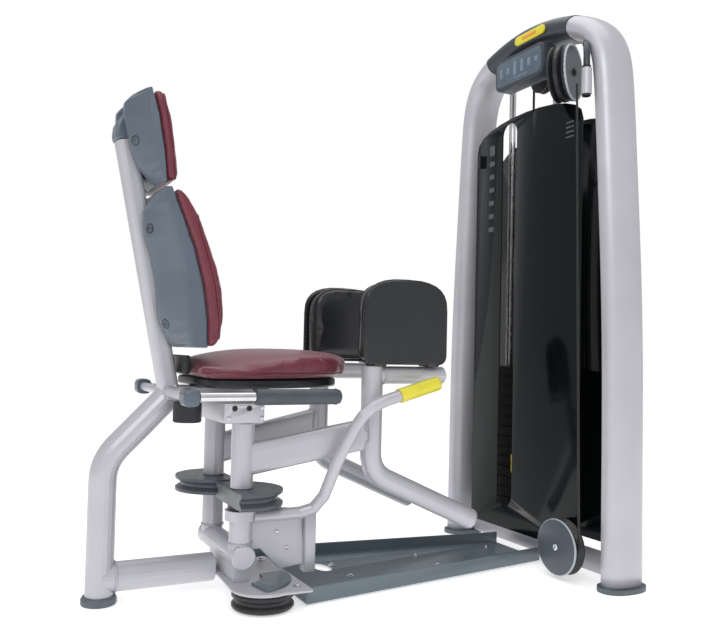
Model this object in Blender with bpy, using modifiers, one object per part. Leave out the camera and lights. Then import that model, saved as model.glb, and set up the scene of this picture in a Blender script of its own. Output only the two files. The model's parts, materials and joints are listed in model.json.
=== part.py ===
"""Selectorised hip abductor machine: seat, two swinging knee arms and a weight-stack tower.

Metres, +Z up, +X the way the user faces (toward the tower), +Y the user's left.
The origin is the centre of the rear foot's underside. The parts are drawn about the point on
the floor midway between the two vertical arm pivots, and hang on one empty that stands there.
"""
import math

import bmesh
import bpy
from mathutils import Matrix, Vector

GAP = 0.0004            # gap left between touching pieces
WELD = 0.00001          # points closer than this are one
DOME_STEPS = (0.35, 0.66, 0.88)

# seat frame
TUBE_R = 0.031
REAR_X = -0.289
RAIL_R = 0.033
RAIL_Z = 0.0565
UPRIGHT_LOW = Vector((-0.1453, 0.0, 0.460))
UPRIGHT_TOP = Vector((-0.2640, 0.0, 1.040))
UPRIGHT_SIZE = (0.044, 0.056)
CHANNEL_HALF = 0.036     # half width of the groove that the shells have for the upright
REAR_HALF = 0.058        # half width of the shells at their rear edge

# backrest, side view as (x, z): the pad's mounting face, the shell's ridge and its rear edge
BACK_FACE = ((-0.0986, 0.574), (-0.1003, 0.635), (-0.1116, 0.711), (-0.1365, 0.797),
             (-0.1650, 0.866), (-0.1880, 0.922))
BACK_RIDGE = ((-0.134, 0.574), (-0.144, 0.655), (-0.1555, 0.742), (-0.1753, 0.816),
              (-0.1971, 0.890), (-0.1990, 0.922))
BACK_REAR = ((-0.1465, 0.574), (-0.158, 0.582), (-0.171, 0.603), (-0.185, 0.633), (-0.191, 0.671),
             (-0.194, 0.711), (-0.200, 0.744), (-0.211, 0.790), (-0.223, 0.816), (-0.227, 0.849),
             (-0.227, 0.877), (-0.213, 0.910), (-0.203, 0.922))
BACK_HALF = 0.148
BACK_FRONT = ((-0.083, 0.573), (-0.070, 0.592), (-0.0635, 0.640), (-0.069, 0.702), (-0.082, 0.752),
              (-0.097, 0.790), (-0.128, 0.863), (-0.155, 0.905), (-0.173, 0.921))
HEAD_FACE = ((-0.1929, 0.936), (-0.1993, 1.003), (-0.2151, 1.0885), (-0.2318, 1.139))
HEAD_RIDGE = ((-0.1990, 0.936), (-0.2208, 1.0228), (-0.2334, 1.0823), (-0.2375, 1.139))
HEAD_REAR = ((-0.206, 0.936), (-0.225, 0.956), (-0.243, 0.976), (-0.258, 1.008), (-0.266, 1.033),
             (-0.278, 1.086), (-0.278, 1.114), (-0.264, 1.131), (-0.2545, 1.139))
HEAD_HALF = 0.118
HEAD_FRONT = ((-0.1670, 0.938), (-0.1650, 0.952), (-0.1740, 1.0175), (-0.1850, 1.082), (-0.2015, 1.132),
              (-0.2100, 1.138))

# pivots
PIVOT_Y = 0.107
POST_R = 0.018
BORE_R = 0.0186
COLUMN_R = 0.026
SLEEVE_Z = (0.2572, 0.4045)
CAM_Z = (0.2206, 0.2566)
CAM_R = 0.095

# arms (right side; the left arm is its mirror image)
ARM_X = 0.307
ARM_Y = 0.153
BEAM_RISE = (0.3195, 0.378)
BEAM_SIZE = (0.040, 0.072)
FOOT_TIP = Vector((0.600, -0.153, 0.151))
PAD_TUBE_Z = 0.5175
PAD_TUBE_R = 0.0215
PAD_X = (0.270, 0.500)
PAD_Z = (0.5485, 0.750)

# handles
HANDLE_Y = 0.228
HANDLE_Z = 0.471
HANDLE_R = 0.0105
GRIP_R = 0.0175

# tower
TOWER_X = 0.894
TOWER_Y = -0.048
POST_HALF = (0.059, 0.033)
CAP_HALF = 0.1745
SHIELD_X = 0.846
SHIELD_HALF = 0.231
SHIELD_T = 0.004
REAR_SHIELD_X = 0.992
REAR_SHIELD_HALF = 0.2685
REAR_SHIELD_SHIFT = 0.032   # it reaches further towards the far post
STACK_Y = 0.030
STACK_X = (0.893, 0.985)
STACK_W = 0.268
PLATE_T = 0.027
PLATE_PITCH = 0.030
PLATES_LIFTED = 10
PLATES_RESTING = 5
STACK_BASE_Z = 0.090
ROD_X = 0.939
ROD_SPREAD = 0.100
CABLE_TOP_Z = 1.392
PIN_R = 0.0045
PIN_DEPTH = 0.029

# pulley hubs
TOP_HUB = Vector((0.8300, -0.262, 1.3180))
TOP_TURN = math.radians(29)
INNER_HUB = Vector((0.926, STACK_Y - 0.0415, 1.3950))
BOTTOM_HUB = Vector((0.800, -0.252, 0.0825))

COLOURS = {
    "silver": (0.52, 0.52, 0.55),
    "shell_grey": (0.10, 0.125, 0.155),
    "tray_grey": (0.13, 0.16, 0.19),
    "vinyl": (0.17, 0.022, 0.035),
    "black": (0.018, 0.019, 0.021),
    "smoke": (0.01, 0.014, 0.017),
    "yellow": (0.66, 0.62, 0.05),
    "steel": (0.6, 0.6, 0.62),
    "rubber": (0.05, 0.055, 0.062),
}
METALS = {"silver": 0.35, "steel": 0.95}

PLANES = {
    "XY": Matrix.Identity(4),
    "XZ": Matrix(((1, 0, 0, 0), (0, 0, 1, 0), (0, 1, 0, 0), (0, 0, 0, 1))),
    "YZ": Matrix(((0, 0, 1, 0), (1, 0, 0, 0), (0, 1, 0, 0), (0, 0, 0, 1))),
}


def reset():
    for obj in list(bpy.data.objects):
        bpy.data.objects.remove(obj, do_unlink=True)
    for old in list(bpy.data.collections):
        bpy.data.collections.remove(old)
    made = bpy.data.collections.new("hip_abductor_machine")
    bpy.context.scene.collection.children.link(made)
    return made


PARTS = reset()


def material(key):
    mat = bpy.data.materials.get(key)
    if mat:
        return mat
    mat = bpy.data.materials.new(key)
    mat.use_nodes = True
    shader = mat.node_tree.nodes["Principled BSDF"]
    shader.inputs["Base Color"].default_value = (*COLOURS[key], 1.0)
    shader.inputs["Metallic"].default_value = METALS.get(key, 0.0)
    shader.inputs["Roughness"].default_value = 0.4
    return mat


def solid(name, bm, key):
    """Weld a bmesh, turn its faces outward and link it as one named part."""
    bmesh.ops.remove_doubles(bm, verts=bm.verts, dist=WELD)
    bmesh.ops.recalc_face_normals(bm, faces=bm.faces)
    mesh = bpy.data.meshes.new(name)
    bm.to_mesh(mesh)
    bm.free()
    mesh.materials.append(material(key))
    obj = bpy.data.objects.new(name, mesh)
    PARTS.objects.link(obj)
    return obj


def smooth(obj, angle=35.0):
    obj.data.shade_smooth()
    obj.data.set_sharp_from_angle(angle=math.radians(angle))
    return obj


def evaluated_mesh(obj):
    graph = bpy.context.evaluated_depsgraph_get()
    return bpy.data.meshes.new_from_object(obj.evaluated_get(graph))


def bake(obj):
    """Replace the mesh with its evaluated form and drop the modifiers."""
    mesh = evaluated_mesh(obj)
    obj.modifiers.clear()
    obj.data = mesh
    return obj


def taken_from(guide, matrix):
    """The guide's evaluated shape as a bmesh, moved by a matrix; the guide is removed."""
    bm = bmesh.new()
    bm.from_mesh(evaluated_mesh(guide))
    bmesh.ops.transform(bm, matrix=matrix, verts=bm.verts)
    bpy.data.objects.remove(guide, do_unlink=True)
    return bm


def combine(obj, others, operation="UNION"):
    for other in others:
        mod = obj.modifiers.new(operation.lower(), "BOOLEAN")
        mod.operation = operation
        mod.solver = "EXACT"
        mod.object = other
        bake(obj)
        bpy.data.objects.remove(other, do_unlink=True)
    bm = bmesh.new()
    bm.from_mesh(obj.data)
    bmesh.ops.remove_doubles(bm, verts=bm.verts, dist=2 * WELD)
    bmesh.ops.dissolve_degenerate(bm, edges=bm.edges, dist=2 * WELD)
    bm.to_mesh(obj.data)
    bm.free()
    return obj


def bevelled(obj, width, segments=2, angle=40.0):
    mod = obj.modifiers.new("bevel", "BEVEL")
    mod.width = width
    mod.segments = segments
    mod.limit_method = "ANGLE"
    mod.angle_limit = math.radians(angle)
    return bake(obj)


def fillet(points, radius, steps=6):
    """Polyline with its inner corners rounded."""
    pts = [Vector(p) for p in points]
    out = [pts[0]]
    for a, b, c in zip(pts, pts[1:], pts[2:]):
        back, ahead = (a - b).normalized(), (c - b).normalized()
        half = 0.5 * back.angle(ahead)
        reach = min(radius / math.tan(half), 0.49 * (a - b).length, 0.49 * (c - b).length)
        start, end = b + back * reach, b + ahead * reach
        for i in range(steps + 1):
            t = i / steps
            out.append(start.lerp(b, t).lerp(b.lerp(end, t), t))
    out.append(pts[-1])
    return out


def stations(path, dome):
    """(point, tangent, scale) along a path, with shrinking stations where an end is domed."""
    points = [Vector(p) for p in path]
    out = []
    for i, point in enumerate(points):
        ahead = points[min(i + 1, len(points) - 1)] - point
        behind = point - points[max(i - 1, 0)]
        out.append((point, (ahead.normalized() + behind.normalized()).normalized(), 1.0))
    first, last = out[0], out[-1]
    for step in DOME_STEPS:
        shrink = math.sqrt(1.0 - step * step)
        if dome[0] > 0.0:
            out.insert(0, (first[0] - first[1] * step * dome[0], first[1], shrink))
        if dome[1] > 0.0:
            out.append((last[0] + last[1] * step * dome[1], last[1], shrink))
    return out


def tube(name, path, radius, key, dome=(0.0, 0.0), sides=20):
    """Round tube: a poly curve with a bevel depth and filled caps."""
    curve = bpy.data.curves.new(name, "CURVE")
    curve.dimensions = "3D"
    curve.bevel_depth = radius
    curve.bevel_resolution = (sides - 4) // 2
    curve.use_fill_caps = True
    places = stations(path, dome)
    spline = curve.splines.new("POLY")
    spline.points.add(len(places) - 1)
    for knot, (point, _, scale) in zip(spline.points, places):
        knot.co = (*point, 1.0)
        knot.radius = scale
    guide = bpy.data.objects.new(name + "_curve", curve)
    PARTS.objects.link(guide)
    return smooth(solid(name, taken_from(guide, Matrix.Identity(4)), key))


def loft(name, path, key, section, up=(0, 0, 1), dome=(0.0, 0.0), segments=20, power=2.0):
    """Bar of oval section (half along `up`, half across): a capped ring extruded along a path."""
    def frame_at(point, tangent, scale):
        u = (Vector(up) - tangent * tangent.dot(Vector(up))).normalized()
        turn = Matrix((u, tangent.cross(u), tangent)).transposed().to_4x4()
        return Matrix.Translation(point) @ turn @ Matrix.Diagonal((scale, scale, 1.0, 1.0))

    places = stations(path, dome)
    bm = bmesh.new()
    ring = bmesh.ops.create_circle(bm, cap_ends=True, radius=1.0, segments=segments)["verts"]
    spin = Matrix.Rotation(math.pi / segments, 3, "Z")
    for vert in ring:
        c, s, _ = spin @ vert.co
        vert.co.x = section[0] * math.copysign(abs(c) ** (2.0 / power), c)
        vert.co.y = section[1] * math.copysign(abs(s) ** (2.0 / power), s)
    here = frame_at(*places[0])
    bmesh.ops.transform(bm, matrix=here, verts=bm.verts)
    cap = list(bm.faces)
    for index, place in enumerate(places[1:]):
        grown = bmesh.ops.extrude_face_region(bm, geom=cap)["geom"]
        if index > 0:
            bmesh.ops.delete(bm, geom=cap, context="FACES_ONLY")
        ahead = frame_at(*place)
        moved = [g for g in grown if isinstance(g, bmesh.types.BMVert)]
        bmesh.ops.transform(bm, matrix=ahead @ here.inverted(), verts=moved)
        cap = [g for g in grown if isinstance(g, bmesh.types.BMFace)]
        here = ahead
    return smooth(solid(name, bm, key))


def lathe(name, profile, key, centre, axis=(0, 0, 1), segments=32):
    """Turned part: (radius, height) profile with a Screw modifier, closed by the axis or on itself."""
    bm = bmesh.new()
    chain = [bm.verts.new((r, 0.0, h)) for r, h in profile]
    links = list(zip(chain, chain[1:]))
    if profile[0][0] > 0.0:
        links.append((chain[-1], chain[0]))
    for pair in links:
        bm.edges.new(pair)
    mesh = bpy.data.meshes.new(name)
    bm.to_mesh(mesh)
    bm.free()
    guide = bpy.data.objects.new(name + "_profile", mesh)
    PARTS.objects.link(guide)
    screw = guide.modifiers.new("screw", "SCREW")
    screw.steps = segments
    screw.render_steps = segments
    screw.use_merge_vertices = True
    screw.merge_threshold = WELD
    turn = Vector((0, 0, 1)).rotation_difference(Vector(axis)).to_matrix().to_4x4()
    bm = taken_from(guide, Matrix.Translation(centre) @ turn)
    return smooth(solid(name, bm, key))


def rod(name, start, end, radius, key, segments=20, edge=0.001):
    """Plain round bar with slightly broken edges."""
    start, end = Vector(start), Vector(end)
    turn = Vector((0, 0, 1)).rotation_difference(end - start).to_matrix().to_4x4()
    bm = bmesh.new()
    bmesh.ops.create_cone(bm, cap_ends=True, segments=segments, radius1=radius, radius2=radius,
                          depth=(end - start).length,
                          matrix=Matrix.Translation((start + end) / 2) @ turn)
    obj = solid(name, bm, key)
    if edge:
        bevelled(obj, edge, 1, 60.0)
    return smooth(obj)


def block(name, low, high, key, bevel=0.0, segments=2):
    low, high = Vector(low), Vector(high)
    bm = bmesh.new()
    bmesh.ops.create_cube(bm, size=1.0)
    bmesh.ops.scale(bm, vec=high - low, verts=bm.verts)
    bmesh.ops.translate(bm, vec=(low + high) / 2, verts=bm.verts)
    obj = solid(name, bm, key)
    if bevel:
        bevelled(obj, bevel, segments)
        smooth(obj)
    return obj


def prism(name, outline, low, high, plane, key, bevel=0.0, segments=2):
    """Flat outline with a thickness: a filled 2D curve, extruded along Y, Z or X."""
    curve = bpy.data.curves.new(name, "CURVE")
    curve.dimensions = "2D"
    curve.fill_mode = "BOTH"
    curve.extrude = (high - low) / 2
    spline = curve.splines.new("POLY")
    spline.points.add(len(outline) - 1)
    for knot, (a, b) in zip(spline.points, outline):
        knot.co = (a, b, 0.0, 1.0)
    spline.use_cyclic_u = True
    guide = bpy.data.objects.new(name + "_outline", curve)
    PARTS.objects.link(guide)
    lift = Matrix.Translation((0.0, 0.0, (low + high) / 2))
    bm = taken_from(guide, PLANES[plane] @ lift)
    bmesh.ops.remove_doubles(bm, verts=bm.verts, dist=WELD)
    bmesh.ops.dissolve_limit(bm, angle_limit=math.radians(0.2), verts=bm.verts, edges=bm.edges)
    obj = solid(name, bm, key)
    if bevel:
        bevelled(obj, bevel, segments)
        smooth(obj)
    return obj


def arc(cx, cy, r, start, end, steps):
    """Points along a circular arc, angles in degrees."""
    out = []
    for i in range(steps + 1):
        a = math.radians(start + (end - start) * i / steps)
        out.append((cx + r * math.cos(a), cy + r * math.sin(a)))
    return out


def mirrored(obj, name):
    """Left-hand copy of a right-hand piece."""
    mesh = obj.data.copy()
    mesh.transform(Matrix.Scale(-1.0, 4, (0, 1, 0)))
    mesh.flip_normals()
    mesh.name = name
    copy = bpy.data.objects.new(name, mesh)
    PARTS.objects.link(copy)
    return copy


def set_origin(obj, point):
    """Move the object origin without moving the shape."""
    point = Vector(point)
    obj.data.transform(Matrix.Translation(-point))
    obj.location = point


# ---------------------------------------------------------------- seat frame

def upright_at(z):
    t = (z - UPRIGHT_LOW.z) / (UPRIGHT_TOP.z - UPRIGHT_LOW.z)
    return UPRIGHT_LOW.lerp(UPRIGHT_TOP, t)


def build_seat_frame():
    corner = [(REAR_X, 0, 0.0185), (REAR_X, 0, 0.315), (-0.130, 0, 0.478)]
    frame = tube("seat_frame", fillet(corner, 0.11, 8), TUBE_R, "silver")
    rail = rod("rail", (REAR_X, 0, RAIL_Z), (-0.0305, 0, RAIL_Z), RAIL_R, "silver", 24)
    back = loft("upright", [UPRIGHT_LOW, UPRIGHT_TOP], "silver",
                 (UPRIGHT_SIZE[1] / 2, UPRIGHT_SIZE[0] / 2), (0, 1, 0), segments=20, power=4.0)
    beam = block("beam", (-0.160, -0.034, 0.4525), (0.048, 0.034, 0.4842), "silver", 0.004, 1)
    cross = rod("cross", (-0.158, -HANDLE_Y + 0.0204, HANDLE_Z),
                (-0.158, HANDLE_Y - 0.0204, HANDLE_Z), HANDLE_R, "silver", 16)
    combine(frame, [rail, back, beam, cross])
    smooth(frame)
    foot = [(0, 0), (0.037, 0), (0.039, 0.003), (0.039, 0.013), (0.036, 0.018), (0, 0.018)]
    lathe("rear_foot", foot, "rubber", (REAR_X, 0, 0), segments=28)
    cap = [(-0.2868, 1.0358), (-0.2905, 1.052), (-0.2885, 1.074), (-0.277, 1.0945), (-0.262, 1.106),
           (-0.2495, 1.106), (-0.2440, 1.0448)]
    prism("upright_cap", cap, -0.029, 0.029, "XZ", "shell_grey", 0.006)


def x_on(line, z):
    """X at a height on a side-view line that runs from the bottom up."""
    for (x0, z0), (x1, z1) in zip(line, line[1:]):
        if z <= z1:
            return x0 + (x1 - x0) * (z - z0) / (z1 - z0)
    return line[-1][0]


def channel_x(z, rear):
    """Bottom of the shell's groove, just in front of the upright or its cap."""
    front = upright_at(min(z, 1.085)).x + UPRIGHT_SIZE[0] / 2 + 0.0048
    return max(front, rear + 0.002)


def shell(name, face, ridge, rear, half):
    """Moulded back: level sections, wide at the face and tapering to a grooved rear edge."""
    heights = sorted({z for line in (face, ridge, rear) for _, z in line})
    bm = bmesh.new()
    rings = []
    for z in heights:
        x_rear = x_on(rear, z)
        side = [(x_on(face, z), half), (x_on(ridge, z), half - 0.004), (x_rear, REAR_HALF),
                (x_rear, CHANNEL_HALF), (channel_x(z, x_rear), CHANNEL_HALF)]
        outline = side + [(x, -y) for x, y in side[::-1]]
        rings.append([bm.verts.new((x, y, z)) for x, y in outline])
    for low, high in zip(rings, rings[1:]):
        for i in range(len(low)):
            n = (i + 1) % len(low)
            bm.faces.new((low[i], low[n], high[n], high[i]))
    bm.faces.new(rings[0])
    bm.faces.new(rings[-1])
    obj = solid(name, bm, "shell_grey")
    return smooth(obj, 25.0)


def pad(name, face, front, half, bevel):
    """Plain pad on a shell's face, with a bulging front."""
    back = [(x + GAP, z) for x, z in face]
    return prism(name, back + list(front[::-1]), -half, half, "XZ", "vinyl", bevel)


def build_backrest():
    shell("head_shell", HEAD_FACE, HEAD_RIDGE, HEAD_REAR, HEAD_HALF)
    pad("head_cushion", HEAD_FACE, HEAD_FRONT, HEAD_HALF + 0.004, 0.009)
    shell("back_shell", BACK_FACE, BACK_RIDGE, BACK_REAR, BACK_HALF)
    pad("back_cushion", BACK_FACE, BACK_FRONT, BACK_HALF + 0.010, 0.011)
    lean = (UPRIGHT_LOW.x - UPRIGHT_TOP.x) / (UPRIGHT_TOP.z - UPRIGHT_LOW.z)
    half = 0.020
    for name, z, rear in (("head_bracket", 1.000, HEAD_REAR), ("back_bracket_upper", 0.850, BACK_REAR),
                          ("back_bracket_lower", 0.640, BACK_REAR)):
        start = upright_at(z).x + UPRIGHT_SIZE[0] / 2 + 0.0012
        stop = channel_x(z, x_on(rear, z)) - 0.0008
        outline = [(start - lean * half, z + half), (stop - lean * half, z + half),
                   (stop + lean * half, z - half), (start + lean * half, z - half)]
        prism(name, outline, -0.026, 0.026, "XZ", "black")


def seat_outline(inset):
    half = [(-0.118, 0.140), (-0.098, 0.168), (-0.040, 0.183), (0.040, 0.182), (0.110, 0.167),
            (0.180, 0.138), (0.240, 0.104), (0.282, 0.064), (0.302, 0.022)]
    right = [(x + inset * (0.09 - x) / 0.2, -(w - inset)) for x, w in half]
    left = [(x, -y) for x, y in right[::-1]]
    return right + left


def build_seat():
    prism("seat_cushion", seat_outline(0.0), 0.5060, 0.5720, "XY", "vinyl", 0.018, 3)
    prism("seat_pan", seat_outline(0.022), 0.4847, 0.5055, "XY", "black", 0.004, 1)
    block("seat_rear_plate", (-0.1310, -0.080, 0.5135), (-0.1192, 0.080, 0.556), "black", 0.003, 1)
    head = block("pivot_head", (-0.056, -0.140, 0.4056), (0.040, 0.140, 0.4520), "silver", 0.005)
    holes = []
    for x in (-0.032, 0.002):
        holes.append(rod("hole", (x, -0.150, 0.440), (x, -0.128, 0.440), 0.0045, "black", 12, 0.0003))
    combine(head, holes, "DIFFERENCE")
    smooth(head)
    drum = [(0, 0.4056), (0.030, 0.4056), (0.032, 0.408), (0.032, 0.449), (0.030, 0.4515), (0, 0.4515)]
    lathe("gear_housing", drum, "black", (-0.121, -0.072, 0), segments=28)


def build_handles():
    y = -HANDLE_Y
    elbow = loft("handle_elbow_right", [(-0.158, y - 0.012, HANDLE_Z), (-0.158, y + 0.0198, HANDLE_Z)],
                  "shell_grey", (0.019, 0.0185), dome=(0.010, 0), segments=16, power=3.0)
    bar = rod("handle_bar_right", (-0.139, y, HANDLE_Z), (-0.0166, y, HANDLE_Z), HANDLE_R, "silver", 16)
    ring = GRIP_R
    profile = [(0, 0), (ring - 0.003, 0), (ring, 0.002), (ring, 0.192), (ring - 0.002, 0.199),
               (ring - 0.008, 0.203), (0, 0.2035)]
    grip = lathe("handle_grip_right", profile, "rubber", (-0.0162, y, HANDLE_Z), (1, 0, 0), 20)
    mirrored(elbow, "handle_elbow_left")
    mirrored(bar, "handle_bar_left")
    mirrored(grip, "handle_grip_left")


# -------------------------------------------------------------------- pivots

def build_pivot_base():
    column = [(0, 0.100), (COLUMN_R, 0.100), (COLUMN_R, 0.2085), (POST_R, 0.2085),
              (POST_R, 0.4052), (0, 0.4052)]
    base = rod("pivot_base", (0, -0.139, 0.105), (0, 0.142, 0.105), 0.028, "silver", 24, 0.003)
    posts = [lathe("post", column, "silver", (0, side * PIVOT_Y, 0), segments=24) for side in (-1, 1)]
    pedestal = block("pedestal", (-0.019, -0.125, 0.0500), (0.019, 0.060, 0.100), "silver")
    combine(base, posts + [pedestal])
    smooth(base)
    for side, name in ((-1, "collar_right"), (1, "collar_left")):
        ring = [(BORE_R, 0.2090), (0.0295, 0.2090), (0.0305, 0.2100), (0.0305, 0.2192),
                (0.0295, 0.2202), (BORE_R, 0.2202)]
        lathe(name, ring, "black", (0, side * PIVOT_Y, 0), segments=24)
    plate = arc(0.036, -0.166, 0.074, 180, 290, 8) + [(0.128, -0.236), (0.128, 0.066)]
    plate += arc(0.001, 0.035, 0.031, 90, 180, 4) + [(-0.030, -0.050)]
    prism("pivot_base_plate", plate, 0.0425, 0.0495, "XY", "silver", 0.0015, 1)
    web = [(0.0266, 0.114), (0.0266, 0.186), (0.0385, 0.186), (0.0385, 0.2130), (0.154, 0.199),
           (0.158, 0.070), (0.100, 0.0625), (0.074, 0.088), (0.049, 0.114)]
    gusset = prism("gusset_plate", web, -0.106, -0.098, "XZ", "silver", 0.0015, 1)
    barrel = block("barrel", (0.1560, -0.119, 0.0500), (0.1850, -0.087, 0.190), "silver", 0.004)
    combine(gusset, [barrel])
    smooth(gusset)
    outer = arc(0.0, -PIVOT_Y, 0.118, -78, 8, 10)
    inner = arc(0.0, -PIVOT_Y, 0.052, 8, -78, 8)
    prism("sector_plate", outer + inner, 0.0500, 0.0560, "XY", "tray_grey")
    wheel = [(0, 0.004), (0.066, 0.004), (0.070, 0.008), (0.070, 0.013), (0.063, 0.019),
             (0.063, 0.026), (0.070, 0.031), (0.070, 0.038), (0.067, 0.0418), (0, 0.0418)]
    lathe("base_pulley", wheel, "black", (0.036, -0.166, 0))


def build_tray():
    x0, x1 = 0.1285, 0.8785
    wall, height = 0.006, 0.040

    def half(x):
        return 0.215 - 0.1315 * x
    outer = [(x0, -half(x0)), (x1, -half(x1)), (x1, half(x1)), (x0, half(x0))]
    tray = prism("base_tray", outer, 0.004, height, "XY", "tray_grey")
    inner = [(x0 - 0.01, -half(x0) + wall), (x1 + 0.01, -half(x1) + wall),
             (x1 + 0.01, half(x1) - wall), (x0 - 0.01, half(x0) - wall)]
    cut = prism("cut", inner, 0.010, height + 0.02, "XY", "black")
    oval = [(0.28 + 0.024 * math.cos(a), 0.055 + 0.046 * math.sin(a))
            for a in [math.pi * i / 10 for i in range(20)]]
    hole = prism("hole", oval, -0.01, 0.02, "XY", "black")
    combine(tray, [cut, hole], "DIFFERENCE")
    smooth(tray, 30)


# ---------------------------------------------------------------------- arms

def build_arm():
    y = -ARM_Y
    sleeve = rod("arm_frame_right", (0, -PIVOT_Y, SLEEVE_Z[0]), (0, -PIVOT_Y, SLEEVE_Z[1]),
                 COLUMN_R, "silver", 24)
    beam = loft("beam", [(0.002, -PIVOT_Y, BEAM_RISE[0]), (ARM_X - 0.004, y, BEAM_RISE[1])], "silver",
                 (BEAM_SIZE[1] / 2, BEAM_SIZE[0] / 2), segments=20, power=5.0)
    bend = [(ARM_X, y, PAD_TUBE_Z + 0.021), (ARM_X, y, 0.284), FOOT_TIP]
    post = tube("post", fillet(bend, 0.075, 7), COLUMN_R, "silver", dome=(0, 0.014))
    carrier = rod("carrier", (ARM_X, y, PAD_TUBE_Z), (0.508, y, PAD_TUBE_Z), PAD_TUBE_R, "silver", 20, 0.003)
    combine(sleeve, [beam, post, carrier])
    bore = rod("bore", (0, -PIVOT_Y, SLEEVE_Z[0] - 0.02), (0, -PIVOT_Y, SLEEVE_Z[1] + 0.02),
               BORE_R, "silver", 24)
    combine(sleeve, [bore], "DIFFERENCE")
    smooth(sleeve)
    set_origin(sleeve, (0, -PIVOT_Y, 0))
    left = mirrored(sleeve, "arm_frame_left")
    left.location = (0, PIVOT_Y, 0)


def build_cam(name, side, facing):
    z0, z1 = CAM_Z
    mid = 0.5 * (z0 + z1)
    wheel = [(BORE_R, z0), (CAM_R, z0), (CAM_R, z0 + 0.007), (CAM_R - 0.012, mid - 0.003),
             (CAM_R - 0.012, mid + 0.003), (CAM_R, z1 - 0.007), (CAM_R, z1), (BORE_R, z1)]
    cam = lathe(name, wheel, "rubber", (0, side * PIVOT_Y, 0), segments=36)
    far, near = -facing * 0.12, -facing * 0.031
    low, high = min(far, near), max(far, near)
    y0 = side * PIVOT_Y
    cut = block("cut", (low, y0 - 0.12, z0 - 0.02), (high, y0 + 0.12, z1 + 0.02), "rubber")
    combine(cam, [cut], "DIFFERENCE")
    smooth(cam)
    set_origin(cam, (0, y0, 0))


def pad_outline(x0, x1, z0, z1):
    """Pad seen from the side: small bottom corners, straight sides and a flat-domed top."""
    middle, half = 0.5 * (x0 + x1), 0.5 * (x1 - x0)
    spring = z1 - 0.074
    points = arc(x0 + 0.020, z0 + 0.020, 0.020, 270, 180, 3)
    for i in range(15):
        t = math.pi * (1.0 - i / 14)
        c, r = math.cos(t), math.sin(t)
        across = math.copysign(abs(c) ** 0.72, c)
        points.append((middle + half * across, spring + (z1 - spring) * max(r, 0.0) ** 0.72))
    return points + arc(x1 - 0.020, z0 + 0.020, 0.020, 0, -90, 3)


def build_pads():
    x0, x1 = PAD_X
    z0, z1 = PAD_Z
    board = prism("pad_back_right", pad_outline(x0, x1, z0 - 0.0035, z1 - 0.001), -0.1840, -0.1710,
                  "XZ", "black", 0.003, 1)
    lugs = []
    for x in (0.312, 0.461):
        lugs.append(block("lug", (x - 0.017, -0.1835, PAD_TUBE_Z + PAD_TUBE_R + 0.0005),
                          (x + 0.017, -0.1420, z0 - 0.0005), "black"))
    combine(board, lugs)
    smooth(board)
    set_origin(board, (0, -PIVOT_Y, 0))
    cushion = prism("knee_pad_right", pad_outline(x0 + 0.002, x1 - 0.002, z0, z1), -0.1706, -0.1220,
                    "XZ", "black", 0.014, 3)
    set_origin(cushion, (0, -PIVOT_Y, 0))
    for obj, name in ((board, "pad_back_left"), (cushion, "knee_pad_left")):
        copy = mirrored(obj, name)
        copy.location = (0, PIVOT_Y, 0)


def build_lever():
    path = [(0.024, -0.126, 0.1935), (0.078, -0.134, 0.1955), (0.130, -0.142, 0.198),
            (0.160, -0.152, 0.208), (0.180, -0.166, 0.238), (0.190, -0.174, 0.272),
            (0.204, -0.184, 0.318), (0.222, -0.195, 0.362), (0.236, -0.203, 0.394),
            (0.254, -0.211, 0.424), (0.278, -0.217, 0.446), (0.308, -0.220, 0.460),
            (0.345, -0.220, 0.4706)]
    lever = tube("start_lever", path, 0.0142, "silver", sides=16)
    ring = lathe("ring", [(COLUMN_R + 0.0006, 0.1860), (0.037, 0.1860), (0.037, 0.2084),
                          (COLUMN_R + 0.0006, 0.2084)], "silver", (0, -PIVOT_Y, 0), segments=28)
    core = rod("core", (0, -PIVOT_Y, 0.150), (0, -PIVOT_Y, 0.250), COLUMN_R + 0.0006, "silver", 28)
    combine(lever, [core], "DIFFERENCE")
    combine(lever, [ring])
    smooth(lever)
    set_origin(lever, (0, -PIVOT_Y, 0))
    end = Vector(path[-1])
    along = (end - Vector(path[-2])).normalized()
    start = end + along * GAP
    grip = tube("lever_grip", [start, start + along * 0.006, start + along * 0.108], GRIP_R, "yellow",
                dome=(0, 0.008), sides=16)
    set_origin(grip, (0, -PIVOT_Y, 0))


# --------------------------------------------------------------------- tower

def tower_y(local):
    return TOWER_Y + local


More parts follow.
